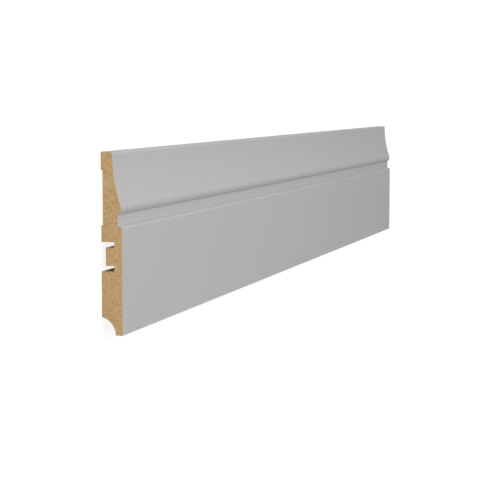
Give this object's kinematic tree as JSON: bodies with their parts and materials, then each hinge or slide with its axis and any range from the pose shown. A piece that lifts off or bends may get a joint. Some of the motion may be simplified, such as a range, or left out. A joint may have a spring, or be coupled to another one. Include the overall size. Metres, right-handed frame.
{
  "type": "skirting board length",
  "caption": "Straight length of MDF skirting board with a scooped and beaded face under a light grey coat, and a grooved back for hidden clips.",
  "frame": {"origin": "middle of the back plane, halfway along the board and halfway up its height", "axes": "+X along the board, +Y up its height from the foot to the top edge, +Z out of the moulded face; the board lies on its back"},
  "size_m": [0.7, 0.1, 0.012],
  "materials": {
    "coated_mdf": "smooth matt light grey coat on the face and top edge, bare tan-brown fibreboard on the sawn ends and the back"
  },
  "bodies": {
    "root": {"skirting_board": "coated_mdf"}
  },
  "joints": []
}
